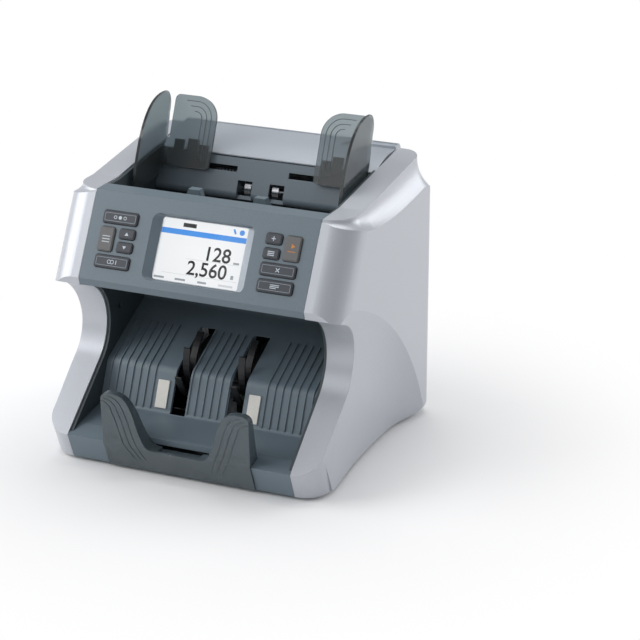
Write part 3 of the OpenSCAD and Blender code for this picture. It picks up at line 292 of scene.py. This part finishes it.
# %% [markdown]
# ## Metals
# The rollers were turned and chromed, so fine rings run round them: a noise that changes only along X, the axis that
# they spin on. The frame plates are rolled steel with long faint streaks. Sintered bronze is speckled.

# %% Metals
UNIT_MM = 1 / MM
MARK_DEPTH_MM = 0.004
DULLEST, GLOSSIEST = 1.25, 0.75


def bare_metal(name, shade, tint, roughness, grain_mm):
    """A bare metal: grain_mm gives the size of its marks along each axis, and a long one is a streak."""
    made, tree = new_finish(name)
    place = add_node(tree, "ShaderNodeTexCoord")
    stretch = add_node(tree, "ShaderNodeMapping", {
        "Vector": place.outputs["Object"], "Scale": [1 / (g * MM) for g in grain_mm]})
    marks, base = speckle(tree, stretch.outputs["Vector"], UNIT_MM, 3.0, shade, tint)
    gloss = add_node(tree, "ShaderNodeMapRange", {
        "Value": marks, "From Min": NOISE_LOW, "From Max": NOISE_HIGH,
        "To Min": roughness * GLOSSIEST, "To Max": roughness * DULLEST})
    bump = add_node(tree, "ShaderNodeBump", {"Height": marks, "Distance": MARK_DEPTH_MM * MM, "Strength": 0.5})
    shader = add_node(tree, "ShaderNodeBsdfPrincipled", {
        "Base Color": base, "Roughness": gloss.outputs["Result"], "Metallic": 1.0,
        "Normal": bump.outputs["Normal"]})
    add_node(tree, "ShaderNodeOutputMaterial", {"Surface": shader.outputs[0]})
    return made


finishes["chrome"] = bare_metal("chromed steel", "#c4c6c9", "#e2e3e5", 0.10, (0.5, 40, 40))
finishes["steel"] = bare_metal("rolled steel sheet", "#9a9da0", "#b4b7ba", 0.34, (30, 30, 1.2))
finishes["bronze"] = bare_metal("sintered bronze", "#7a5c32", "#9a7845", 0.42, (0.8, 0.8, 0.8))
print("finishes with metals:", len(finishes))

# %% [markdown]
# ## Boards
# A circuit board is glass fibre under green lacquer. Copper tracks run under the lacquer and show as paler bands,
# which a brick pattern of 2.5 mm rows gives. On the main board, what stands above the lacquer is a chip or a socket,
# moulded in black.

# %% Circuit boards
TRACK_ROW, TRACK_LENGTH, TRACK_GAP, TRACK_RELIEF = 2.5, 11, 0.25, 0.03
BOARD_TOP = 15.65


def lacquered(name, filled_above=None):
    """A circuit board. With filled_above, a height in millimetres, what stands higher is a black moulding."""
    made, tree = new_finish(name)
    place = add_node(tree, "ShaderNodeTexCoord").outputs["Object"]
    tracks = add_node(tree, "ShaderNodeTexBrick", {
        "Vector": place, "Color1": linear("#1f5a36"), "Color2": linear("#23613b"), "Mortar": linear("#3b7d54"),
        "Scale": 1.0, "Mortar Size": TRACK_GAP * MM, "Brick Width": TRACK_LENGTH * MM,
        "Row Height": TRACK_ROW * MM})
    base = tracks.outputs["Color"]
    if filled_above:
        base = raised_tone(tree, place, base, "#1a1c1e", filled_above)
    bump = add_node(tree, "ShaderNodeBump", {
        "Height": tracks.outputs["Fac"], "Distance": TRACK_RELIEF * MM, "Strength": 0.5})
    shader = add_node(tree, "ShaderNodeBsdfPrincipled", {
        "Base Color": base, "Roughness": 0.3, "IOR": 1.5, "Normal": bump.outputs["Normal"]})
    add_node(tree, "ShaderNodeOutputMaterial", {"Surface": shader.outputs[0]})
    return made


finishes["circuit_board"] = lacquered("green circuit board")
filled_board = lacquered("green circuit board with black parts", BOARD_TOP)
print("finishes in all:", len(finishes))

# %% [markdown]
# ## Every solid gets its finish
# The record names a finish for each solid, so one loop dresses them all. A few differ from their group: the menu key
# and the start key are a warmer, paler grey, the fins of the hopper floor are slate, the gate is frosted, the door
# with the lid is a cooler silver than the sides, and the main board carries black parts.

# %% Dress the solids
for entry in frame["record"]["subparts"]:
    dress(nodes[entry["node"]], finishes[entry["material_slot"]])
OWN_FINISH = {
    "menu_key": warm_keys, "start_key": warm_keys, "hopper_floor": shaded_floor_with_fins, "stacker_gate": frosted,
    "main_board": filled_board, "rear_door": door_silver,
}
for name, finish in OWN_FINISH.items():
    dress(nodes[name], finish)
print("dressed:", sum(bool(n.data.materials) for n in nodes.values()), "of", len(nodes))

# %% [markdown]
# ## The slope of the control panel
# Everything on the panel is drawn flat first, X across and Y up the slope, then turned up to the lean of the panel and
# moved to its lower edge. The place goes into the mesh, so the object itself stays at the origin. Seen the other way
# round, the corners of a solid can be read off on that drawing, and so the marks find their keys.

# %% Panel frame
LEAN = math.radians(28.5)
PANEL_FOOT = Vector((0, -88.2444 * MM, 157.2 * MM))
UP_SLOPE = Vector((0, math.sin(LEAN), math.cos(LEAN)))
OUTWARDS = Vector((0, -math.cos(LEAN), math.sin(LEAN)))
ROUND_POINTS, CORNER_STEPS = 32, 6


def on_panel(node):
    """The corners of a solid on the drawing: across, up the slope and out of it, in millimetres."""
    places = [(corner.co - PANEL_FOOT) / MM for corner in nodes[node].data.vertices]
    return [(p.x, p.dot(UP_SLOPE), p.dot(OUTWARDS)) for p in places]


def make_active(piece):
    """Selects one piece and nothing else."""
    bpy.ops.object.select_all(action="DESELECT")
    piece.select_set(True)
    bpy.context.view_layer.objects.active = piece


def lay_on_slope(piece, body, lean, foot):
    """Turns a flat drawing up to a slope, puts the place in its mesh, and lets it ride on a body."""
    make_active(piece)
    piece.rotation_euler = (math.pi / 2 - lean, 0, 0)
    piece.location = foot
    bpy.ops.object.transform_apply(location=True, rotation=True, scale=True)
    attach(piece, body)
    return piece


def drawn(kind, x, up, wide, high, corner=0.0, points=ROUND_POINTS, turn=0.0):
    """A flat outline on the drawing, its middle and size in millimetres: a plate, its corners round if asked, or a
    disc, which with three points is a triangle. The turn is in degrees."""
    bpy.ops.object.select_all(action="DESELECT")
    if kind == "plate":
        bpy.ops.mesh.primitive_plane_add(size=1)
    else:
        bpy.ops.mesh.primitive_circle_add(vertices=points, radius=0.5, fill_type="NGON")
    made = bpy.context.active_object
    made.scale = (wide * MM, high * MM, 1)
    bpy.ops.object.transform_apply(location=False, rotation=False, scale=True)
    if corner:
        bpy.ops.object.mode_set(mode="EDIT")
        bpy.ops.mesh.select_all(action="SELECT")
        bpy.ops.mesh.bevel(offset=corner * MM, offset_type="OFFSET", segments=CORNER_STEPS, affect="VERTICES")
        bpy.ops.object.mode_set(mode="OBJECT")
    made.rotation_euler = (0, 0, math.radians(turn))
    made.location = (x * MM, up * MM, 0)
    bpy.ops.object.transform_apply(location=True, rotation=True, scale=True)
    return made


def thick(made, low, top, line=0.0):
    """Gives an outline its thickness, from low to top over the drawing. With a line width, only a band along its
    edge is kept."""
    make_active(made)
    bpy.ops.object.mode_set(mode="EDIT")
    bpy.ops.mesh.select_all(action="SELECT")
    if line:
        bpy.ops.mesh.inset(thickness=line * MM)
        bpy.ops.mesh.delete(type="FACE")
        bpy.ops.mesh.select_all(action="SELECT")
    bpy.ops.transform.translate(value=(0, 0, low * MM))
    bpy.ops.mesh.extrude_region_move(TRANSFORM_OT_translate={"value": (0, 0, (top - low) * MM)})
    bpy.ops.mesh.select_all(action="SELECT")
    bpy.ops.mesh.normals_make_consistent(inside=False)
    bpy.ops.object.mode_set(mode="OBJECT")
    return made


def gather(name, parts, body, finish, lean=LEAN, foot=PANEL_FOOT):
    """Joins outlines into one piece with one finish, and lays it on a slope, which is the panel unless given."""
    make_active(parts[0])
    for part in parts:
        part.select_set(True)
    if len(parts) > 1:
        bpy.ops.object.join()
    made = bpy.context.active_object
    made.name = made.data.name = name
    dress(made, finish)
    return lay_on_slope(made, body, lean, foot)


print("panel foot:", [round(v / MM, 1) for v in PANEL_FOOT])

# %% [markdown]
# ## Ink and light
# Printing ink lies on the keys as a thin even film that breaks up a little at the scale of the grain. The screen is
# lit from behind, and the light falls off slightly towards the rim of the page.

# %% Inks and the lit page
INK_SPECK, INK_LOW, INK_HIGH = 0.4, 0.35, 0.6
PAGE_MIDDLE, PAGE_REACH, BACKLIGHT = 36, 45, 0.95


def ink(name, shade, tint):
    """Screen printing ink: matt, with specks of the two shades, also used for the painted highlight on wide keys."""
    made, tree = new_finish(name)
    place = add_node(tree, "ShaderNodeTexCoord")
    _, base = speckle(tree, place.outputs["Object"], INK_SPECK, 2.0, shade, tint, INK_LOW, INK_HIGH)
    shader = add_node(tree, "ShaderNodeBsdfPrincipled", {"Base Color": base, "Roughness": 0.5})
    add_node(tree, "ShaderNodeOutputMaterial", {"Surface": shader.outputs[0]})
    return made


def lit(name, rim, middle):
    """A backlit colour: the middle of the page is a little brighter than its rim."""
    made, tree = new_finish(name)
    place = add_node(tree, "ShaderNodeTexCoord")
    away = add_node(tree, "ShaderNodeVectorMath", {
        0: place.outputs["Object"], 1: PANEL_FOOT + PAGE_MIDDLE * MM * UP_SLOPE}, operation="DISTANCE")
    fall = add_node(tree, "ShaderNodeMapRange", {
        "Value": away.outputs["Value"], "From Min": 0.0, "From Max": PAGE_REACH * MM})
    colour = add_node(tree, "ShaderNodeValToRGB", {"Fac": fall.outputs["Result"]})
    first, last = colour.color_ramp.elements
    first.color, last.color = linear(middle), linear(rim)
    shader = add_node(tree, "ShaderNodeBsdfPrincipled", {
        "Base Color": linear("#0c0d0e"), "Roughness": 0.3, "Emission Color": colour.outputs["Color"],
        "Emission Strength": BACKLIGHT})
    add_node(tree, "ShaderNodeOutputMaterial", {"Surface": shader.outputs[0]})
    return made


pale_ink = ink("pale grey ink", "#b4bcc6", "#ccd4dc")
# Painted highlight: a pale film for the light caught by the raised edge of a wide key's cap.
edge_highlight_finish = ink("painted edge highlight", "#7f8994", "#929ca6")
orange_ink = ink("orange ink", "#b96f22", "#d28534")
page_light = lit("backlit white page", "#eceef0", "#f8f9fa")
band_light = lit("backlit blue band", "#1a83dc", "#2694ee")
grey_light = lit("backlit grey mark", "#8d9298", "#9a9fa5")
faint_light = lit("backlit faint mark", "#c9cdd1", "#d3d6d9")
black_pixels = ink("black pixels", "#0d0e10", "#17181a")
print("page light:", BACKLIGHT)

# %% [markdown]
# ## The page on the screen
# The page lies on the face of the display, behind the window. It shows two plain numbers, a count and a sum, with bars
# and rules round them. Each item is a film that starts just inside the face, so that no gap shows under it. Items
# that lie on others are a little thicker. A rectangle is written as its middle, across and up, and its two sizes.

# %% Screen page
FACE = max(out for _, _, out in on_panel("lcd_module"))
SUNK = 0.02
WINDOW_HIGHLIGHT_FILM, PAGE_FILM, MARK_FILM, NUMBER_FILM = 0.01, 0.03, 0.05, 0.06
# The painted highlight lies off to the right of the page, so it shows only along its right and lower edge.
WINDOW_HIGHLIGHT, WINDOW_HIGHLIGHT_CORNER = (3.75, 35.5, 84.2, 53.3), 3.2
PAGE, PAGE_CORNER = (0.1, 35.6, 77.2, 52.2), 1.2
HEAD_BAND, HEAD_DOT, HEAD_TITLE = (0.1, 51.1, 77.0, 4.6), (33.6, 57.3, 4.6, 4.6), (-14.0, 57.4, 12.0, 3.4)
STROKE, STROKE_CORNER, STROKE_TURN = (27.0, 57.6, 1.7, 4.4), 0.4, 28
FOOT_UP, FOOT_HIGH = 11.9, 1.7
GREY_BARS = (
    (33.6, 31.4, 5.2, 1.7), (32.2, 19.6, 2.6, 3.2), (-33.0, FOOT_UP, 9.5, FOOT_HIGH),
    (-13.5, FOOT_UP, 9.5, FOOT_HIGH), (6.5, FOOT_UP, 8.0, FOOT_HIGH),
)
FAINT_BARS = ((12.0, 29.9, 48.0, 0.35), (3.0, 16.3, 68.0, 0.35), (28.0, FOOT_UP, 13.0, FOOT_HIGH))
DIGIT_SIZE, DIGIT_SWELL = 16.5, 0.22
COUNT, SUM = ("128", 28.0, 30.8), ("2,560", 27.0, 17.2)


def film(outline, height):
    """An outline as a film on the face of the display."""
    return thick(outline, FACE - SUNK, FACE + height)


def digits(words, right, foot):
    """Plain numbers as a film, with their right end and foot at a place on the drawing."""
    bpy.ops.object.select_all(action="DESELECT")
    bpy.ops.object.text_add()
    made = bpy.context.active_object
    made.data.body = words
    made.data.size = DIGIT_SIZE * MM
    made.data.align_x = "RIGHT"
    made.data.offset = DIGIT_SWELL * MM
    bpy.ops.object.convert(target="MESH")
    made = bpy.context.active_object
    made.location = (right * MM, foot * MM, 0)
    bpy.ops.object.transform_apply(location=True, rotation=True, scale=True)
    return film(made, NUMBER_FILM)


page = gather("screen_page", [film(drawn("plate", *PAGE, PAGE_CORNER), PAGE_FILM)], "case", page_light)
blues = [drawn("plate", *HEAD_BAND), drawn("plate", *STROKE, STROKE_CORNER, turn=STROKE_TURN),
         drawn("disc", *HEAD_DOT)]
greys = [drawn("plate", *bar) for bar in GREY_BARS]
faints = [drawn("plate", *bar) for bar in FAINT_BARS]
gather("screen_blue_marks", [film(mark, MARK_FILM) for mark in blues], "case", band_light)
gather("screen_grey_marks", [film(mark, MARK_FILM) for mark in greys], "case", grey_light)
gather("screen_rules", [film(mark, MARK_FILM) for mark in faints], "case", faint_light)
# Painted highlight: a silver film for the light on the right wall of the window recess, whose left wall is in shade.
gather("screen_window_highlight", [film(drawn("plate", *WINDOW_HIGHLIGHT, WINDOW_HIGHLIGHT_CORNER), WINDOW_HIGHLIGHT_FILM)], "case", window_highlight_silver)
title = film(drawn("plate", *HEAD_TITLE), NUMBER_FILM)
gather("screen_numbers", [title, digits(*COUNT), digits(*SUM)], "case", black_pixels)
print("page:", [round(v / MM, 1) for v in page.dimensions])

# %% [markdown]
# ## Marks on the keys
# Each key carries a simple mark of bars, discs, rings or triangles. Wide keys also have a thin pale line round the top
# of the cap, a painted highlight for the light that the raised edge of the cap catches. A mark is placed from the
# middle of its key's cap, which is the part that stands out of the panel. It rides on its key, so that it travels when
# the key is pressed.

# %% Key marks
CAP_FROM = 0.2
INK_SUNK, MARK_INK, KEY_HIGHLIGHT_FILM = 0.05, 0.04, 0.03
# Size of the painted highlight round a wide key's cap. Its thickness is on the line above.
WIDE_KEY, KEY_HIGHLIGHT_INSET, KEY_HIGHLIGHT_CORNER, KEY_HIGHLIGHT_WIDTH = 30, 1.8, 1.0, 0.38
SHAPES = {  # outline, its points if it is round, its turn
    "bar": ("plate", ROUND_POINTS, 0), "rising": ("plate", ROUND_POINTS, 45), "falling": ("plate", ROUND_POINTS, -45),
    "disc": ("disc", ROUND_POINTS, 0), "up": ("disc", 3, 0), "down": ("disc", 3, 180), "right": ("disc", 3, -90),
}
MARKS = {  # shape, its middle across and up, its two sizes, and the width of its line or 0 if it is filled
    "mode": [("disc", -4.5, 0, 3.0, 3.0, 0.5), ("disc", 0, 0, 3.0, 3.0, 0), ("disc", 4.5, 0, 3.0, 3.0, 0.5)],
    "menu": [("bar", 0, 2.4, 7.0, 0.7, 0), ("bar", 0, 0, 7.0, 0.7, 0), ("bar", 0, -2.4, 7.0, 0.7, 0)],
    "up": [("up", 0, -0.4, 4.2, 3.6, 0)],
    "down": [("down", 0, 0.4, 4.2, 3.6, 0)],
    "currency": [("disc", -2.2, 0, 3.6, 3.6, 0.5), ("disc", 0.6, 0, 3.6, 3.6, 0.5), ("bar", 4.2, 0, 0.6, 3.4, 0)],
    "add": [("bar", 0, 0, 3.8, 0.7, 0), ("bar", 0, 0, 0.7, 3.8, 0)],
    "batch": [("bar", 0, 1.5, 6.0, 0.7, 0), ("bar", 0, 0, 6.0, 0.7, 0), ("bar", 0, -1.5, 6.0, 0.7, 0)],
    "start": [("right", 0.2, 2.0, 5.0, 4.4, 0), ("bar", 0, -2.6, 7.0, 0.6, 0)],
    "clear": [("rising", 0, 0, 4.6, 0.7, 0), ("falling", 0, 0, 4.6, 0.7, 0)],
    "report": [("bar", 0, 1.3, 8.0, 0.6, 0), ("bar", 0, 0, 8.0, 0.6, 0), ("bar", -1.2, -1.3, 5.6, 0.6, 0)],
}
for key, marks in MARKS.items():
    across, along, out = zip(*[corner for corner in on_panel(key + "_key") if corner[2] > CAP_FROM])
    x, up, top = (min(across) + max(across)) / 2, (min(along) + max(along)) / 2, max(out)
    wide, high = max(across) - min(across), max(along) - min(along)
    parts = []
    for shape, right, rise, mark_wide, mark_high, line in marks:
        kind, points, turn = SHAPES[shape]
        outline = drawn(kind, x + right, up + rise, mark_wide, mark_high, points=points, turn=turn)
        parts.append(thick(outline, top - INK_SUNK, top + MARK_INK, line))
    gather(key + "_mark", parts, key, orange_ink if key == "start" else pale_ink)
    # A painted highlight: a thin pale line for the light on the raised edge of a wide key's cap.
    if wide > WIDE_KEY:
        outline = drawn("plate", x, up, wide - 2 * KEY_HIGHLIGHT_INSET, high - 2 * KEY_HIGHLIGHT_INSET, KEY_HIGHLIGHT_CORNER)
        painted_edge_highlight = thick(outline, top - INK_SUNK, top + KEY_HIGHLIGHT_FILM, KEY_HIGHLIGHT_WIDTH)
        gather(key + "_painted_edge_highlight", [painted_edge_highlight], key, edge_highlight_finish)
print("marked keys:", len(MARKS))

# %% [markdown]
# ## Ceiling of the pocket
# Over the pocket lies a thin moulded cover. It runs from the lip of the control panel back to the top of the exit wall,
# and keeps the inside dark when someone looks in through the hopper. Ribs on its underside stiffen it. The cover lies
# level, so its drawing is not turned, and each part only gets its two heights.

# %% Pocket ceiling
LEVEL, ORIGIN = math.pi / 2, Vector((0, 0, 0))
COVER, COVER_CORNER, COVER_LOW, COVER_TOP = (0, -21.9, 199.4, 106.6), 1.5, 148.3, 150.3
RIB_MIDDLE, RIB_WIDE, RIB_LONG, RIB_CORNER, RIB_LOW, RIB_SUNK = -24, 1.6, 92, 0.6, 145.8, 0.1
RIB_PLACES = (-75, -45, -15, 15, 45, 75)
cover = thick(drawn("plate", *COVER, COVER_CORNER), COVER_LOW, COVER_TOP)
ribs = [thick(drawn("plate", x, RIB_MIDDLE, RIB_WIDE, RIB_LONG, RIB_CORNER), RIB_LOW, COVER_LOW + RIB_SUNK)
        for x in RIB_PLACES]
ceiling = gather("pocket_ceiling", [cover] + ribs, "case", finishes["dark_abs"], LEVEL, ORIGIN)
print("ceiling:", [round(v / MM, 1) for v in ceiling.dimensions])

# %% [markdown]
# ## Lines in the feed guides
# Three lines are engraved in the plate of each guide. They run up beside its inner edge and turn along its top. Light
# catches on their rough floor, and a thin matt film laid there gives that. A bar, a quarter of a ring and a second bar
# make one line. The ring starts as a full one and is cut twice.

# %% Guide lines
HOPPER_LEAN = math.radians(23.3)
HOPPER_FOOT = Vector((0, 52.0556 * MM, 212.3 * MM))
INNER_EDGE, PLATE_TOP, PLATE_CORNER = 49.5, 67.8, 20.0
LINE_INSETS, LINE_FOOT, LINE_WIDTH, LONGEST_RUN = (4.5, 9.0, 13.5), 12.6, 0.6, 15
GROOVE, RING_POINTS = (4.56, 4.66), 72
line_film = ink("matt engraved polycarbonate", "#5a6467", "#667073")


def quarter_ring(side, x, up, radius):
    """A flat ring with only its upper quarter towards the middle of the hopper kept."""
    made = thick(drawn("disc", side * x, up, 2 * radius, 2 * radius, points=RING_POINTS), *GROOVE, LINE_WIDTH)
    for normal in ((side, 0, 0), (0, -1, 0)):
        bpy.ops.object.mode_set(mode="EDIT")
        bpy.ops.mesh.select_all(action="SELECT")
        bpy.ops.mesh.bisect(plane_co=(side * x * MM, up * MM, 0), plane_no=normal, use_fill=True, clear_outer=True)
        bpy.ops.object.mode_set(mode="OBJECT")
    return made


turn_x, turn_up = INNER_EDGE + PLATE_CORNER, PLATE_TOP - PLATE_CORNER
for body, side in (("left_guide", -1), ("right_guide", 1)):
    parts = []
    for inset in LINE_INSETS:
        run = LONGEST_RUN - inset
        upright = drawn("plate", side * (INNER_EDGE + inset + LINE_WIDTH / 2), (LINE_FOOT + turn_up) / 2,
                        LINE_WIDTH, turn_up - LINE_FOOT)
        along = drawn("plate", side * (turn_x + run / 2), PLATE_TOP - inset - LINE_WIDTH / 2, run, LINE_WIDTH)
        parts += [thick(upright, *GROOVE), thick(along, *GROOVE),
                  quarter_ring(side, turn_x, turn_up, PLATE_CORNER - inset)]
    made = gather(body + "_lines", parts, body, line_film, HOPPER_LEAN, HOPPER_FOOT)
    print(made.name, [round(v / MM, 1) for v in made.dimensions])
